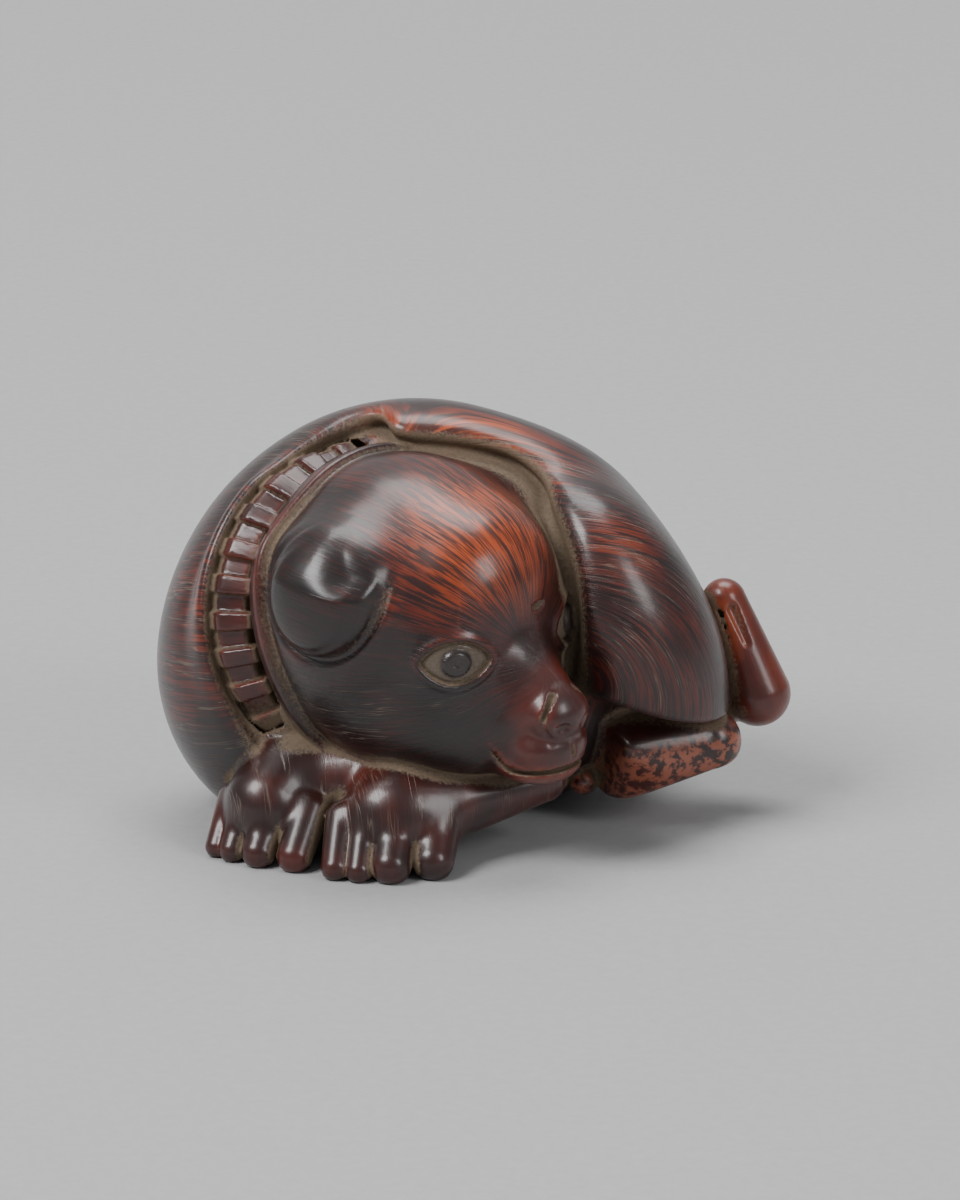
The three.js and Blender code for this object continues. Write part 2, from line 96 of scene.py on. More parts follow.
def limb(p, a, b, ra, rb):
    a, b = np.array(a, float), np.array(b, float)
    ab = b - a
    t = np.clip(((p - a) @ ab) / (ab @ ab), 0, 1)
    return np.sqrt(((p - a - t[:, None] * ab) ** 2).sum(1)) - (ra + (rb - ra) * t)


def join(a, b, k):
    h = np.maximum(k - np.abs(a - b), 0) / k
    return np.minimum(a, b) - h * h * k / 4


def cut(a, b, k):
    return -join(-a, b, k)


def meet(a, b, k):
    return -join(-a, -b, k)


def groove(d, off, width, depth):
    return np.maximum(d, np.minimum(width - np.abs(off), d + depth))


def bell(x, w):
    return np.exp(-(x * x) / (w * w))


# ---------- the carving: head ----------
# blobs are a centre and three radii, limbs two ends and two radii; blend is how softly each joins
HEAD = local_axes([-4, -2, 15.8], 42, 6, 3.5)
SKULL = {"at": [-0.8, 0, 0.3], "r": [9.9, 9.7, 9.7]}
JOWL = {"at": [-0.6, 0, -3.2], "r": [8.7, 8.8, 7.4], "blend": 2.5}
JAW = {"at": [4, 0, -5.4], "r": [7.4, 6.4, 4.6], "blend": 3}
FOREHEAD = {"at": [5.6, 0, 3.4], "r": [3.9, 5.4, 4.6], "blend": 3}
CHEEK = {"at": [6.4, 3.6, -0.4], "r": [2.6, 3.2, 3], "blend": 2.5}
MUZZLE = {"from": [4.5, 0, -2.3], "to": [10.2, 0, -4.6], "r": [5.6, 3.2], "blend": 1.6}
BRIDGE = {"from": [6, 0, -0.4], "to": [12.2, 0, -3], "r": [3.4, 1.9], "blend": 1.4}
LIP = {"at": [12.2, 0, -5.8], "r": [2.3, 2.9, 1.8], "blend": 0.6}
CHIN = {"at": [10.9, 0, -7.1], "r": [3.4, 3, 1.7], "blend": 0.8}
NOSE = {"at": [12.9, 0, -3.5], "r": [1.8, 2.35, 1.85], "blend": 0.35}
TEMPLE = {"at": [-0.2, 7.9, 2.8], "r": [4.6, 2.1, 4.4], "blend": 3.4}
NOSTRIL = {"at": [14.55, 1.2, -3.9], "r": [0.5, 0.75, 0.45], "blend": 0.3}
WING_CREASE = [[13.3, 1.0, -1.85], [13.5, 2.3, -3.6], [14, 1.7, -4.9]]
UNDER_NOSE = {"from": [14.6, 0, -4.7], "to": [14.3, 0, -5.9], "r": [0.2, 0.15], "blend": 0.25}
NICK = {"at": [9.95, -1.25, 2.8], "r": [0.5, 0.7, 0.28], "blend": 0.1}
MOUTH = {"low": [11.6, -7.2], "curl_back": 0.7, "curl_front": 0.05, "depth": 0.5}
EAR = {"at": [0.5, 4], "half": [3.9, 4.3], "lift": 1.25}
EYE = local_axes([8.3, 5.1, 0.3], -34, 0, 0)
EYE_HALF, EYE_TALL = 2.3, 1.35


def blob(p, form):
    return ellipsoid(p, form["at"], form["r"])


def rod(p, form):
    return limb(p, form["from"], form["to"], *form["r"])


def lens_shape(x, y, half, tall):
    radius = (half * half + tall * tall) / (2 * tall)
    sink = radius - tall
    return np.maximum(length(x, y + sink), length(x, y - sink)) - radius


def eye_relief(m):
    e = local(m, EYE)
    near = (np.abs(e[:, 0]) < 3) & (m[:, 0] > 4)
    x, y = e[:, 1], e[:, 2]
    lens = lens_shape(x, y, EYE_HALF, EYE_TALL)
    d = 0.30 * bell(lens, 0.14) + 0.12 * smooth(-0.1, 0.25, -lens)
    d -= 0.14 * bell(lens - 0.45, 0.3)
    ball = length(x * 0.9, y)
    d -= 0.20 * smooth(1.05, 0.7, ball)
    d += 0.10 * bell(ball - 0.95, 0.12)
    d += 0.10 * smooth(0.34, 0.12, length(x + 0.1, y - 0.05)) - 0.04
    return np.where(near, d * smooth(3.2, 2.2, lens + 2), 0)


def ear_relief(m):
    x, z = EAR["at"]
    wide, tall = EAR["half"]
    e = length((m[:, 0] - x) / wide, (m[:, 2] - z) / tall)
    top = mix(8.6, 5.8, smooth(0, 3, m[:, 0]))
    melt = 1 - smooth(4.4, top, m[:, 2])
    lift = EAR["lift"] * np.sqrt(np.clip(1 - e ** 3, 0, 1)) * melt
    under = 0.35 * bell(e - 1.06, 0.09) * smooth(7, 3, m[:, 2])
    rim = 0.12 * bell(e - 0.86, 0.07) * melt
    return np.where(m[:, 1] > 3, lift - under - rim, 0)


def head(p):
    """The smooth head, and the same head with ears, eyes, nose and mouth carved."""
    q = local(p, HEAD)
    m = q.copy()
    m[:, 1] = np.abs(m[:, 1])
    d = blob(q, SKULL)
    for form in (JOWL, JAW, FOREHEAD):
        d = join(d, blob(q, form), form["blend"])
    d = join(d, blob(m, CHEEK), CHEEK["blend"])
    for form in (MUZZLE, BRIDGE):
        d = join(d, rod(q, form), form["blend"])
    for form in (LIP, CHIN, NOSE):
        d = join(d, blob(q, form), form["blend"])
    plain = join(d, blob(m, TEMPLE), TEMPLE["blend"])
    d = plain + eye_relief(m) - ear_relief(m)
    d = cut(d, blob(m, NOSTRIL), NOSTRIL["blend"])
    for a, b in zip(WING_CREASE, WING_CREASE[1:]):
        d = cut(d, limb(m, a, b, 0.2, 0.2), 0.25)
    d = cut(d, rod(q, UNDER_NOSE), UNDER_NOSE["blend"])
    d = cut(d, blob(q, NICK), NICK["blend"])
    along = q[:, 0] - MOUTH["low"][0]
    curl = np.where(along < 0, MOUTH["curl_back"], MOUTH["curl_front"])
    line = q[:, 2] - MOUTH["low"][1] - curl * along * along
    reach = mix(-0.4, 0.2, smooth(9.6, 10.6, q[:, 0]))
    return plain, groove(d, line, reach, MOUTH["depth"])


# ---------- trunk, collar, limbs ----------
SHOULDER = {"at": [-10.95, 2.5, 10.5], "r": [10.35, 9.4, 11.8]}
BACK = {"at": [-3.9, 6, 15.1], "r": [14.4, 9, 12.5]}
RUMP = {"at": [4.5, 4.5, 12.85], "r": [9.3, 8, 11.3]}
BELLY = {"at": [-2, 6, 8.2], "r": [11, 8, 9.6]}
FAR_HAUNCH = {"at": [6.2, 8.6, 8.6], "r": [8, 5.9, 8.2], "blend": 1.6}
TRUNK_BLEND = 4
THIGH = local_axes([10.2, 0, 13.65], 0, 64.2, 0)
THIGH_RADII = [10.5, 6.5, 5.6]
RING = local_axes([-7.77, 2.36, 14.66], 50, -9.7, 0)
OVAL = 0.92
PLEATS = 25
FRILL_RADIUS = 10.3
FRILL_END = -6        # the frill stops here on its far side, under the coat
PLEAT_STEP = 0.6
BED = 1.7             # radius of the channel that the frill lies in
GAP, GAP_EDGE = 0.6, 2
FILL = 1.4            # depth of the valley between head and trunk


def trunk(p):
    d = blob(p, SHOULDER)
    for form in (BACK, RUMP, BELLY):
        d = join(d, blob(p, form), TRUNK_BLEND)
    d = join(d, blob(p, FAR_HAUNCH), FAR_HAUNCH["blend"])
    t = ellipsoid(local(p, THIGH), [0, 0, 0], THIGH_RADII)
    t = meet(t, 9.9 - 0.3 * (p[:, 0] - 9) - p[:, 2], 0.8)
    return join(d, t, 2.4)


def from_axis(q):
    return length(q[:, 1], q[:, 2] / OVAL)


def tube(q, radius, r, forward=0):
    return length(from_axis(q) - radius, q[:, 0] - forward) - r


def frill(q):
    """A roof-shaped ring whose pleats stand up in turn, each with its own step."""
    x = from_axis(q) - FRILL_RADIUS
    y = q[:, 0]
    turn = np.arctan2(q[:, 2] / OVAL, q[:, 1])
    phase = PLEATS * (turn + 0.05 * bell(turn - 0.75, 0.6)) - 51 * RAD
    raised = np.clip(np.sin(phase) * 5, -1, 1) * 0.5 + 0.5
    lift = PLEAT_STEP * (raised - 0.8)
    d = meet(0.8 * x + 0.6 * y - 1 - lift, 0.87 * y - 0.5 * x - 1.35 - lift, 0.3)
    d = meet(d, x - 0.3 * y - 1.25 - 0.25 * raised, 0.25)
    d = np.maximum(d, -y - 2.5)
    d = np.maximum(d, -x - 2.5)
    return np.maximum(d, FRILL_END - q[:, 1])


def toes(p, tips, lean):
    d = np.full(len(p), 1e3)
    for x, y, r in tips:
        knuckle = [x - lean[0] * 2.6, y - lean[1] * 2.6, 3.3]
        d = join(d, limb(p, [x, y, r * 0.8], knuckle, r, r * 1.15), 0.2)
    return d


RIGHT_TOES = [(-9.1, -11.5, 0.95), (-7.55, -12, 0.9), (-5.45, -12, 1.35), (-2.7, -11.2, 1.4)]
LEFT_TOES = [(-17, -7, 0.8), (-15.95, -7.9, 0.9), (-14.2, -8.9, 1.15), (-11.8, -9.8, 1.2)]


def forelimbs(p):
    d = toes(p, RIGHT_TOES, [-0.15, -1])
    d = join(d, limb(p, [-5.6, -8.4, 3.5], [-3.6, -5, 5.4], 3, 3.2), 0.8)
    d = join(d, limb(p, [-4.2, -8, 3.6], [4.6, -5.2, 4.6], 3.1, 1.4), 1)
    e = toes(p, LEFT_TOES, [-0.35, -0.9])
    e = join(e, limb(p, [-13.6, -6, 3.4], [-11.8, -3.5, 5.2], 2.9, 3.2), 0.8)
    d = join(d, e, 0.15)
    return join(d, limb(p, [-12, -4.4, 4.6], [-5.5, -5.2, 5], 2.6, 2.8), 0.8)


FOOT_FACETS = [((-0.83, -0.53, -0.12), -7.2), ((0.27, 0, -0.963), 0.8),
               ((-0.05, -0.9, -0.43), 0.3), ((-0.04, -0.45, 0.89), 7.2)]


def hind_foot(p):
    d = limb(p, [10.1, -0.3, 5.1], [15.8, 0.4, 5.6], 3.5, 2.1)
    for normal, at in FOOT_FACETS:
        d = meet(d, p @ np.array(normal) - at, 0.6)
    for toe in ([5.4, 0.4, 2.9], [7.3, 0.2, 2.8]):
        d = join(d, limb(p, toe, [toe[0] + 0.6, 4, 4], 0.95, 1.6), 0.2)
    return d


def tail(p):
    d = limb(p, [16.8, 5, 14], [19.1, 4.2, 7.7], 1.5, 2.25)
    for a, b in (([17.3, 3.5, 13.8], [18.3, 2.9, 11.6]), ([16.6, 3.9, 13.6], [17.6, 3.1, 10.6])):
        d = cut(d, limb(p, a, b, 0.3, 0.15), 0.3)
    return join(d, limb(p, [15.2, 5.8, 12.9], [16.8, 5.2, 7.4], 1.5, 2.2), 0.4)


WIDE_HOLE, WIDE_RADIUS = [-4.5, 7.5], 3.5
NARROW_HOLE, NARROW_RADIUS = [4.8, 9.2], 1.8


def cord_holes(p):
    """Two openings in the underside, joined by a bent tunnel."""
    wide_top, narrow_top = WIDE_HOLE + [6], NARROW_HOLE + [4]
    wide = limb(p, WIDE_HOLE + [-2], wide_top, WIDE_RADIUS, WIDE_RADIUS)
    narrow = limb(p, NARROW_HOLE + [-2], narrow_top, NARROW_RADIUS, NARROW_RADIUS)
    bend = limb(p, wide_top, narrow_top, NARROW_RADIUS, NARROW_RADIUS)
    return np.minimum(np.minimum(wide, narrow), bend)


def parts(p):
    """Distances to the named pieces of the carving, before they are joined."""
    q = local(p, RING)
    plain, h = head(p)
    whole = trunk(p)
    shown = smooth(-8, -1, q[:, 1])
    d = join(whole, tube(q, 10.9, 1.2 * smooth(1, 7, q[:, 1]), -1.4), 1.6)
    d = cut(d, tube(q, 12.1, shown, 1.1), 2 * shown + 0.01)
    bed = tube(q, FRILL_RADIUS, BED * smooth(FRILL_END - 2, FRILL_END + 6, q[:, 1]))
    d = cut(d, bed, 1)
    d = cut(d, plain - GAP, GAP_EDGE)
    d = join(d, limb(p, [-4, -2, 14], [-10, 5, 13], 8, 8.5), 0.4)
    d = join(d, np.maximum(whole + FILL, -bed), 0.3)
    band = meet(h - 0.65, np.abs(q[:, 0] - 2.85) - 0.85, 0.5)
    return {"trunk": d, "frill": frill(q), "band": band, "head": h,
            "foot": hind_foot(p), "tail": tail(p), "paws": forelimbs(p)}


def field(p):
    part = parts(p)
    d = join(part["trunk"], part["frill"], 0.15)
    d = join(d, part["band"], 0.15)
    d = join(d, part["head"], 0.35)
    d = join(d, part["foot"], 0.3)
    d = join(d, part["tail"], 0.3)
    d = join(d, part["paws"], 0.3)
    d = cut(d, cord_holes(p), 0.3)
    return meet(d, -p[:, 2], 0.2)


# ---------- from field to mesh ----------
def in_chunks(function, p, size=200000):
    return np.concatenate([function(p[i:i + size]) for i in range(0, len(p), size)])


def sample():
    cells = (np.ceil((BOX_HIGH - BOX_LOW) / (STEP * 8)).astype(int)) * 8
    cubes = np.stack(np.meshgrid(*[np.arange(0, n, 8) for n in cells], indexing="ij"), -1)
    cubes = cubes.reshape(-1, 3)
    span = 8
    signs = np.ones(cells + 1, np.float32)
    while True:
        d = in_chunks(field, BOX_LOW + (cubes + span / 2) * STEP)
        near = np.abs(d) < span * STEP * 0.87 * 1.35 + 0.35
        for c in cubes[(~near) & (d < 0)]:
            signs[c[0]:c[0] + span + 1, c[1]:c[1] + span + 1, c[2]:c[2] + span + 1] = -1
        cubes = cubes[near]
        if span == 2:
            break
        span //= 2
        step = np.stack(np.meshgrid([0, span], [0, span], [0, span], indexing="ij"), -1)
        cubes = (cubes[:, None, :] + step.reshape(1, 8, 3)).reshape(-1, 3)
    mark = np.zeros(cells + 1, bool)
    for a in range(3):
        for b in range(3):
            for c in range(3):
                mark[cubes[:, 0] + a, cubes[:, 1] + b, cubes[:, 2] + c] = True
    at = np.argwhere(mark)
    signs[mark] = in_chunks(field, BOX_LOW + at * STEP)
    return signs


def surface(values):
    inside = values < 0
    nx, ny, nz = [n - 1 for n in values.shape]
    corner = [(a, b, c) for a in (0, 1) for b in (0, 1) for c in (0, 1)]
    count = sum(inside[a:a + nx, b:b + ny, c:c + nz].astype(np.int8) for a, b, c in corner)
    cell = np.argwhere((count > 0) & (count < 8))
    number = np.full((nx, ny, nz), -1, np.int32)
    number[cell[:, 0], cell[:, 1], cell[:, 2]] = np.arange(len(cell))
    v = {c: values[cell[:, 0] + c[0], cell[:, 1] + c[1], cell[:, 2] + c[2]] for c in corner}
    total = np.zeros((len(cell), 3))
    hits = np.zeros(len(cell))
    for a in corner:
        for axis in range(3):
            if a[axis]:
                continue
            b = tuple(1 if i == axis else a[i] for i in range(3))
            crossed = (v[a] < 0) != (v[b] < 0)
            t = np.where(crossed, v[a] / np.where(crossed, v[a] - v[b], 1), 0)
            spot = np.tile(np.array(a, float), (len(cell), 1))
            spot[:, axis] += t
            total += np.where(crossed[:, None], spot, 0)
            hits += crossed
    points = BOX_LOW + (cell + total / hits[:, None]) * STEP
    quads = []
    for axis in range(3):
        one, two = (axis + 1) % 3, (axis + 2) % 3
        first = np.take(inside, range(0, inside.shape[axis] - 1), axis)
        second = np.take(inside, range(1, inside.shape[axis]), axis)
        at = np.argwhere(first != second)
        keep = (at[:, one] > 0) & (at[:, two] > 0)
        keep &= (at[:, one] < number.shape[one]) & (at[:, two] < number.shape[two])
        at = at[keep]
        ids = []
        for i, j in ((1, 1), (0, 1), (0, 0), (1, 0)):
            c = at.copy()
            c[:, one] -= i
            c[:, two] -= j
            ids.append(number[c[:, 0], c[:, 1], c[:, 2]])
        ids = np.stack(ids, 1)
        back = first[at[:, 0], at[:, 1], at[:, 2]]
        ids[back] = ids[back][:, ::-1]
        quads.append(ids[(ids >= 0).all(1)])
    return points, np.concatenate(quads)


def slope(p, e=0.04):
    g = np.stack([field(p + e * np.eye(3)[i]) - field(p - e * np.eye(3)[i]) for i in range(3)], 1)
    return g / (2 * e)


def settle(p):
    for _ in range(2):
        d, g = field(p), slope(p)
        size = np.maximum((g * g).sum(1), 0.25)
        move = g * np.clip(d / size, -0.12, 0.12)[:, None]
        p = p - move
    return p


values = sample()
points, quads = surface(values)
points = in_chunks(settle, points, 100000)
print("surface", len(points), "points", len(quads), "quads")

mesh = bpy.data.meshes.new("carved_puppy")
mesh.vertices.add(len(points))
mesh.vertices.foreach_set("co", points.astype(np.float32).ravel())
mesh.loops.add(len(quads) * 4)
mesh.loops.foreach_set("vertex_index", quads[:, ::-1].astype(np.int32).ravel())
mesh.polygons.add(len(quads))
mesh.polygons.foreach_set("loop_start", np.arange(0, len(quads) * 4, 4, dtype=np.int32))
mesh.update(calc_edges=True)
mesh.validate()
puppy = bpy.data.objects.new("carved_puppy", mesh)
bpy.context.scene.collection.objects.link(puppy)
thin = puppy.modifiers.new("thin", "DECIMATE")
thin.ratio = min(1.0, MOST_TRIANGLES / (2 * len(quads)))
bpy.context.view_layer.update()
graph = bpy.context.evaluated_depsgraph_get()
lean = bpy.data.meshes.new_from_object(puppy.evaluated_get(graph))
puppy.modifiers.clear()
puppy.data = lean
lean.name = "carved_puppy"
mesh = lean
count = len(mesh.vertices)
raw = np.empty(count * 3, np.float32)
mesh.vertices.foreach_get("co", raw)
raw = raw.reshape(-1, 3).astype(float)
print("mesh", count, "points", len(mesh.polygons), "faces")


# ---------- what each place on the carving is like ----------
def describe(p):
    part = parts(p)
    names = list(part)
    nearest = np.argmin(np.stack([part[n] for n in names], 1), 1)
    which = {n: nearest == i for i, n in enumerate(names)}
    g = slope(p)
    n = g / (np.sqrt((g * g).sum(1)) + 1e-9)[:, None]
    hidden = np.zeros(len(p))
    for reach, weight in ((0.35, 0.35), (0.9, 0.4), (2.0, 0.25)):
        hidden += weight * np.clip(1 - field(p + n * reach) / reach, 0, 1)
    ridge = np.clip(1 + field(p - n * 0.8) / 0.8, 0, 1)
    q = local(p, HEAD)
    m = q.copy()
    m[:, 1] = np.abs(m[:, 1])
    ring = local(p, RING)
    # hair runs along lines of equal v; u is the place along them
    spread = length(q[:, 1], q[:, 2])
    head_v = 9 * np.arctan2(q[:, 1], q[:, 2])
    head_u = 9 * np.arctan2(spread, q[:, 0] + 1)
    turn = np.arctan2(ring[:, 1], ring[:, 2])
    rho = length(ring[:, 1], ring[:, 2])
    trunk_v = 13 * turn + rho * mix(0.3, 1.0, smooth(0, -1.3, turn))
    trunk_u = rho
    u = np.where(which["head"] | which["band"], head_u, trunk_u)
    v = np.where(which["head"] | which["band"], head_v, trunk_v)
    u = np.where(which["paws"], p[:, 2] * 1.2 - p[:, 1] * 0.5, u)
    v = np.where(which["paws"], p[:, 0] + 0.25 * p[:, 1], v)
    u = np.where(which["foot"], p[:, 0], u)
    v = np.where(which["foot"], p[:, 2] * 1.4 + p[:, 1], v)
    u = np.where(which["tail"], p[:, 2], u)
    v = np.where(which["tail"], (p[:, 0] + 0.34 * p[:, 2]) * 1.2, v)
    flow = np.stack([u, v, p[:, 1] * 0.3], 1)

    # red: how far the stain is worn to orange-red, by place
    def patch(at, r, power):
        return power * np.exp(-(((p - np.array(at)) / np.array(r)) ** 2).sum(1))
    red = np.full(len(p), 0.12)
    red += np.where(which["head"], patch([0, -8, 23], [5.5, 7, 5], 1.15), 0)
    red += np.where(which["trunk"], patch([1, 1, 27], [9, 5, 3.0], 0.95), 0)
    red += np.where(which["trunk"], patch([9.5, -4, 20], [3.5, 4, 4], 0.5), 0)
    red += np.where(which["trunk"], patch([12, -4, 12], [5, 5, 4], 0.35), 0)
    red += np.where(which["trunk"], patch([-19, 0, 14], [3, 9, 9], 0.3), 0)
    red += np.where(which["head"], patch([6, -9, 18], [4, 4, 4], 0.35), 0)
    red += np.where(which["head"], smooth(10.5, 12.5, q[:, 0]) * 0.2, 0)
    red += np.where(which["paws"], 0.12, 0) + np.where(which["tail"], 0.32, 0)
    red += np.where(which["foot"], 0.15, 0) + np.where(which["frill"], 0.25, 0)
    red += 0.25 * smooth(0.25, 0.6, ridge)
    # hair: full on the coat, faint on the paws, foot, tail, collar and muzzle
    bare = which["paws"] | which["foot"] | which["tail"] | which["frill"] | which["band"]
    hair = np.where(bare, 0.25, 1)
    hair = hair * np.where(which["head"], 1 - 0.75 * smooth(9.5, 12, q[:, 0]), 1)
    return flow, hidden, ridge, np.clip(red, 0, 1.3), hair, which, m, q


def zones(p, which, m):
    e = local(m, EYE)
    lens = lens_shape(e[:, 1], e[:, 2], EYE_HALF, EYE_TALL)
    on_head = which["head"] & (m[:, 0] > 5) & (np.abs(e[:, 0]) < 3)
    ball = length(e[:, 1] * 0.9, e[:, 2])
    white = np.where(on_head, smooth(0.05, -0.12, lens) * smooth(0.85, 1.05, ball), 0)
    pupil = np.where(on_head, smooth(1.05, 0.9, ball), 0)
    worn = np.where(which["foot"], 1.0, 0) * smooth(6.6, 5.2, p[:, 2] - 0.12 * (p[:, 0] - 10))
    return white, pupil, worn


flow = np.zeros((count, 3))
tone = np.zeros((count, 4))
zone = np.zeros((count, 4))
for start in range(0, count, 60000):
    part = slice(start, start + 60000)
    f, hidden, ridge, red, hair, which, m, q = describe(raw[part])
    white, pupil, worn = zones(raw[part], which, m)
    flow[part] = f
    tone[part] = np.stack([red, hidden, ridge, hair], 1)
    cheek = np.where(which["head"], smooth(0.5, -3.5, q[:, 2]) * smooth(11, 8, q[:, 0]), 0)
    ring = local(raw[part], RING)
    rho = length(ring[:, 1], ring[:, 2])
    collar_side = np.where(which["trunk"], smooth(15.5, 12.8, rho), 0)
    scratch = np.maximum(cheek, collar_side)
    scratch = np.maximum(scratch, np.where(which["paws"], smooth(2.2, 4, raw[part][:, 2]) * 0.8, 0))
    zone[part] = np.stack([white, pupil, worn, scratch], 1)


def store(name, kind, data):
    attribute = mesh.attributes.new(name, kind, "POINT")
    field_name = "vector" if kind == "FLOAT_VECTOR" else "color"
    attribute.data.foreach_set(field_name, data.astype(np.float32).ravel())


store("flow", "FLOAT_VECTOR", flow)
store("tone", "FLOAT_COLOR", tone)
store("zone", "FLOAT_COLOR", zone)

# ---------- size and place from the CAD frame ----------
low, high = raw.min(0), raw.max(0)
scale = (node_high - node_low)[0] / (high - low)[0]
middle = (low + high) / 2
place = (node_low + node_high) / 2
placed = (raw - middle) * scale + place
placed[:, 2] = (raw[:, 2] - low[2]) * scale + node_low[2]
mesh.vertices.foreach_set("co", placed.astype(np.float32).ravel())
mesh.polygons.foreach_set("use_smooth", np.ones(len(mesh.polygons), bool))
mesh.update()


def to_frame(point):
    out = (np.array(point, float) - middle) * scale + place
    out[2] = (point[2] - low[2]) * scale + node_low[2]
    return Vector(out)


# ---------- material ----------
def node_tree(material):
    material.use_nodes = True
    tree = material.node_tree
    tree.nodes.clear()
    return tree


class Graph:
    def __init__(self, tree):
        self.tree = tree

    def node(self, kind, **settings):
        made = self.tree.nodes.new(kind)
        for key, value in settings.items():
            setattr(made, key, value)
        return made

    def feed(self, made, inputs):
        for key, value in inputs.items():
            socket = made.inputs[key]
            if isinstance(value, bpy.types.NodeSocket):
                self.tree.links.new(value, socket)
            else:
                socket.default_value = value

    def math(self, operation, a, b=0.0, c=0.0, clamp=False):
        made = self.node("ShaderNodeMath", operation=operation, use_clamp=clamp)
        self.feed(made, {0: a, 1: b, 2: c})
        return made.outputs[0]

    def mix(self, factor, a, b, blend="MIX"):
        made = self.node("ShaderNodeMix", data_type="RGBA", blend_type=blend)
        made.clamp_factor = True
        self.feed(made, {"Factor": factor, 6: a, 7: b})
        return made.outputs[2]

    def step(self, value, low, high, to_low=0.0, to_high=1.0):
        made = self.node("ShaderNodeMapRange", interpolation_type="SMOOTHSTEP")
        self.feed(made, {"Value": value, "From Min": low, "From Max": high,
                         "To Min": to_low, "To Max": to_high})
        return made.outputs[0]

    def noise(self, vector, size, detail=2.0, roughness=0.5, distortion=0.0):
        made = self.node("ShaderNodeTexNoise", noise_dimensions="3D")
        self.feed(made, {"Vector": vector, "Scale": size, "Detail": detail,
                         "Roughness": roughness, "Distortion": distortion})
        return made.outputs["Fac"]

    def stretch(self, vector, factors, shift=(0, 0, 0)):
        made = self.node("ShaderNodeMapping")
        self.feed(made, {"Vector": vector, "Scale": factors, "Location": shift})
        return made.outputs[0]


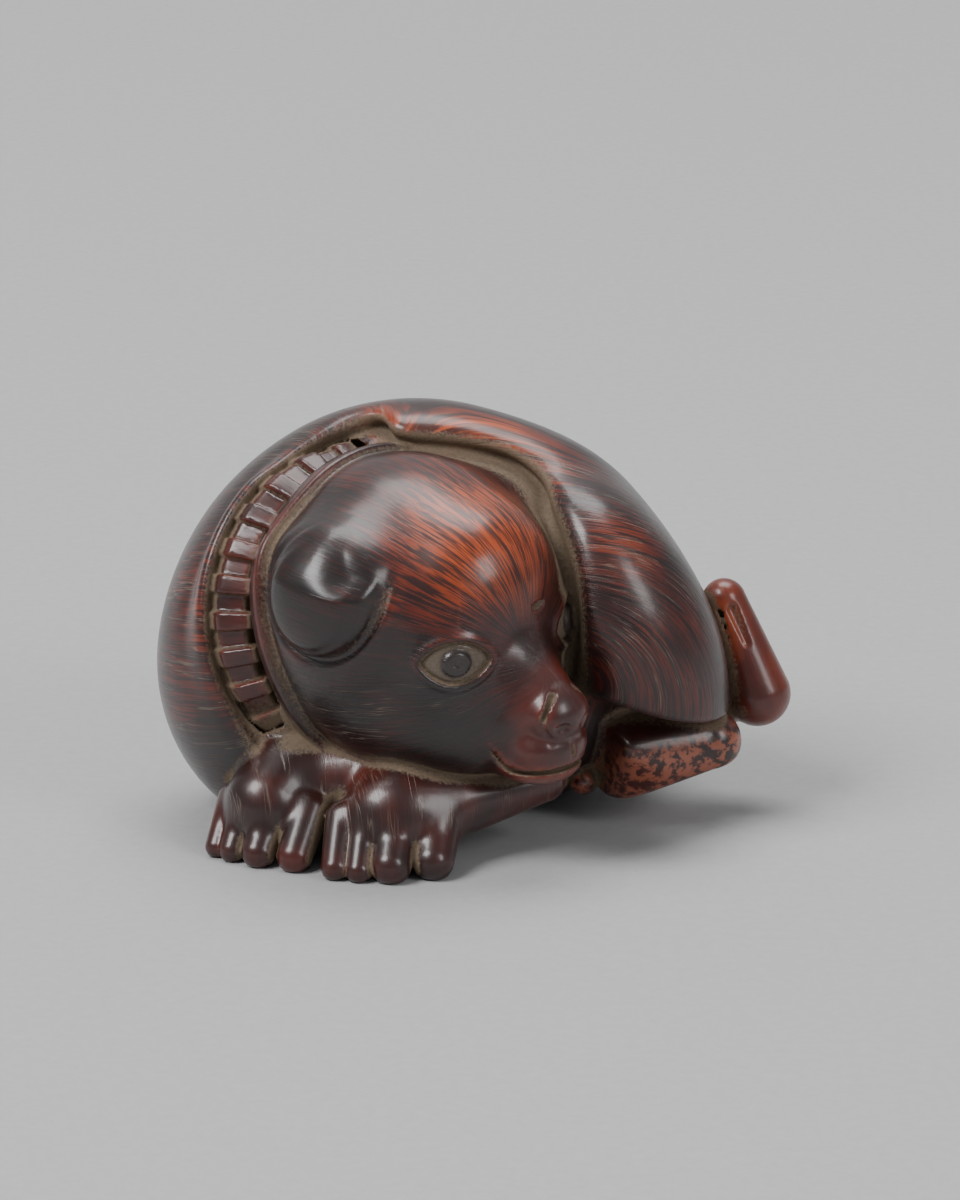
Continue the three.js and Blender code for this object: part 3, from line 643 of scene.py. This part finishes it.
def stained_wood():
    material = bpy.data.materials.new("stained_wood")
    g = Graph(node_tree(material))
    out = g.node("ShaderNodeOutputMaterial")
    wood = g.node("ShaderNodeBsdfPrincipled")
    g.tree.links.new(wood.outputs[0], out.inputs[0])

    flow_at = g.node("ShaderNodeAttribute", attribute_name="flow").outputs["Vector"]
    tone_node = g.node("ShaderNodeAttribute", attribute_name="tone")
    zone_node = g.node("ShaderNodeAttribute", attribute_name="zone")
    split_tone = g.node("ShaderNodeSeparateColor")
    g.feed(split_tone, {0: tone_node.outputs["Color"]})
    red, hidden, ridge = split_tone.outputs[:3]
    hair = tone_node.outputs["Alpha"]
    split_zone = g.node("ShaderNodeSeparateColor")
    g.feed(split_zone, {0: zone_node.outputs["Color"]})
    white, pupil, worn = split_zone.outputs[:3]
    scratch_zone = zone_node.outputs["Alpha"]
    where = g.node("ShaderNodeTexCoord").outputs["Object"]
    where_mm = g.stretch(where, (1000, 1000, 1000))

    # hair: fine dark strokes along the flow, in broken tufts
    wobble = g.noise(where_mm, 0.5, 2)
    strand = g.noise(g.stretch(flow_at, (0.30, 3.6, 1.0)), 1.0, 2.5, 0.6, 0.3)
    strand_fine = g.noise(g.stretch(flow_at, (0.45, 7.0, 1.0), (7, 3, 1)), 1.0, 1.5, 0.5, 0.2)
    tuft = g.noise(where_mm, 0.22, 2, 0.5)
    strokes = g.step(strand, 0.47, 0.56)
    fine_strokes = g.step(strand_fine, 0.48, 0.60)
    dark_hair = g.math("MAXIMUM", g.math("MULTIPLY", strokes, 0.85),
                       g.math("MULTIPLY", fine_strokes, 0.6))
    dark_hair = g.math("MULTIPLY", dark_hair, hair)

    warmth = g.math("MULTIPLY_ADD", g.math("SUBTRACT", tuft, 0.5), 0.9, red)
    stain = g.node("ShaderNodeValToRGB")
    ramp = stain.color_ramp
    ramp.elements[0].position = 0.0
    ramp.elements[0].color = (0.013, 0.005, 0.004, 1)
    ramp.elements[1].position = 1.0
    ramp.elements[1].color = (0.40, 0.060, 0.008, 1)
    for spot, colour in ((0.2, (0.030, 0.007, 0.005, 1)), (0.45, (0.095, 0.012, 0.006, 1)),
                         (0.72, (0.21, 0.030, 0.008, 1))):
        element = ramp.elements.new(spot)
        element.color = colour
    g.feed(stain, {0: warmth})
    base = g.mix(dark_hair, stain.outputs[0], (0.010, 0.006, 0.006, 1))

    # light scratches where the carver cut hair beside the collar, on the cheek and the wrists
    scratch_noise = g.noise(g.stretch(flow_at, (0.2, 4.2, 0.8), (3, 11, 5)), 1.0, 1.0, 0.5, 0.1)
    scratch_line = g.math("SUBTRACT", 1.0, g.math("MULTIPLY", g.math("ABSOLUTE", g.math(
        "SUBTRACT", scratch_noise, 0.5)), 30.0), clamp=True)
    scratch_gate = g.step(g.noise(g.stretch(flow_at, (0.3, 0.9, 0.5), (1, 2, 9)), 1.0, 1), 0.5, 0.6)
    scratch = g.math("MULTIPLY", g.math("MULTIPLY", scratch_line, scratch_gate), scratch_zone)
    base = g.mix(g.math("MULTIPLY", scratch, 0.45), base, (0.24, 0.18, 0.13, 1))

    # worn, pitted patch on the hind foot
    pits = g.noise(where_mm, 1.6, 3, 0.6)
    base = g.mix(g.math("MULTIPLY", worn, g.step(pits, 0.42, 0.56)), base, (0.30, 0.085, 0.045, 1))

    # dust in the hollows
    grit = g.noise(where_mm, 5.0, 3, 0.7)
    dust = g.step(g.math("MULTIPLY_ADD", g.math("SUBTRACT", grit, 0.5), 0.6, hidden), 0.30, 0.60)
    dust_colour = g.mix(grit, (0.085, 0.058, 0.036, 1), (0.24, 0.175, 0.115, 1))
    base = g.mix(g.math("MULTIPLY", dust, 0.9), base, dust_colour)
    base = g.mix(white, base, g.mix(grit, (0.06, 0.043, 0.03, 1), (0.17, 0.125, 0.085, 1)))
    base = g.mix(g.math("MULTIPLY", pupil, 0.6), base, (0.030, 0.022, 0.022, 1))
    g.feed(wood, {"Base Color": base})

    rough = g.math("MULTIPLY_ADD", dust, 0.45, 0.30)
    rough = g.math("MULTIPLY_ADD", wobble, 0.12, rough)
    rough = g.math("MAXIMUM", rough, g.math("MULTIPLY", white, 0.8))
    g.feed(wood, {"Roughness": rough, "IOR": 1.5, "Coat Weight": g.step(dust, 0.1, 0.7, 0.45, 0.0),
                  "Coat Roughness": 0.2})

    bump_height = g.math("MULTIPLY", dark_hair, -0.35)
    bump_height = g.math("MULTIPLY_ADD", scratch, -0.6, bump_height)
    bump_height = g.math("MULTIPLY_ADD", g.math("MULTIPLY", pits, worn), 1.4, bump_height)
    bump_height = g.math("MULTIPLY_ADD", g.math("MULTIPLY", grit, dust), 1.0, bump_height)
    bump_height = g.math("MULTIPLY_ADD", wobble, 1.2, bump_height)
    bump = g.node("ShaderNodeBump")
    g.feed(bump, {"Height": bump_height, "Strength": 0.5, "Distance": 0.00006})
    g.feed(wood, {"Normal": bump.outputs[0]})
    return material


mesh.materials.clear()
mesh.materials.append(stained_wood())

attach(puppy, "root")
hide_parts("netsuke")

# ---------- floor, light and camera ----------
span = float((node_high - node_low)[0])
floor_mesh = bpy.data.meshes.new("floor")
reach = span * 14
sweep = []
for i in range(25):
    t = i / 24
    if t < 0.55:
        sweep.append((-reach * 0.45 + t / 0.55 * reach * 0.95, 0.0))
    else:
        a = (t - 0.55) / 0.45 * math.pi / 2
        r = reach * 0.35
        sweep.append((reach * 0.5 + r * math.sin(a), r - r * math.cos(a)))
sweep.append((sweep[-1][0], reach * 1.4))
verts = [(x, y, z) for x in (-reach, reach) for y, z in sweep]
n = len(sweep)
floor_mesh.from_pydata(verts, [], [(i, i + 1, n + i + 1, n + i) for i in range(n - 1)])
floor_mesh.polygons.foreach_set("use_smooth", np.ones(n - 1, bool))
floor = bpy.data.objects.new("floor", floor_mesh)
bpy.context.scene.collection.objects.link(floor)
paper = bpy.data.materials.new("backdrop")
pg = Graph(node_tree(paper))
paper_out = pg.node("ShaderNodeOutputMaterial")
matte = pg.node("ShaderNodeBsdfPrincipled")
pg.tree.links.new(matte.outputs[0], paper_out.inputs[0])
flecks = pg.noise(pg.stretch(pg.node("ShaderNodeTexCoord").outputs["Object"], (1000, 1000, 1000)), 1.2, 3)
pg.feed(matte, {"Base Color": pg.mix(flecks, (0.40, 0.40, 0.40, 1), (0.47, 0.47, 0.47, 1)),
                "Roughness": 0.9, "Specular IOR Level": 0.1})
floor_mesh.materials.append(paper)


def softbox(name, at, aim, size, power, colour=(1, 1, 1)):
    light = bpy.data.lights.new(name, "AREA")
    light.shape = "RECTANGLE"
    light.size, light.size_y = size
    light.energy = power
    light.color = colour
    holder = bpy.data.objects.new(name, light)
    holder.location = at
    holder.rotation_euler = (Vector(aim) - Vector(at)).to_track_quat("-Z", "Y").to_euler()
    bpy.context.scene.collection.objects.link(holder)


aim = to_frame([0, 0, 12])
softbox("key", aim + Vector((-0.55, -0.35, 0.75)), aim, (0.45, 0.45), 9.0)
softbox("side", aim + Vector((0.75, -0.60, 0.55)), aim, (0.30, 0.50), 3.5)
softbox("top", aim + Vector((0.05, 0.30, 0.95)), aim, (0.70, 0.50), 7.0)
world = bpy.data.worlds.new("studio")
world.use_nodes = True
world.node_tree.nodes["Background"].inputs[0].default_value = (0.75, 0.78, 0.82, 1)
world.node_tree.nodes["Background"].inputs[1].default_value = 0.35
bpy.context.scene.world = world

ELEVATION = 17 * RAD
DISTANCE = 420.0
target = np.array([0.37, 0, 15.54])
eye = target + DISTANCE * np.array([0, -math.cos(ELEVATION), math.sin(ELEVATION)])
camera = bpy.data.cameras.new("camera")
camera.sensor_fit = "VERTICAL"
camera.sensor_height = 36
camera.lens = 36 * (DISTANCE / 0.0665) / 1200
camera.clip_start = 0.01
view = bpy.data.objects.new("camera", camera)
view.location = to_frame(eye)
view.rotation_euler = (math.pi / 2 - ELEVATION, 0, 0)
bpy.context.scene.collection.objects.link(view)
bpy.context.scene.camera = view
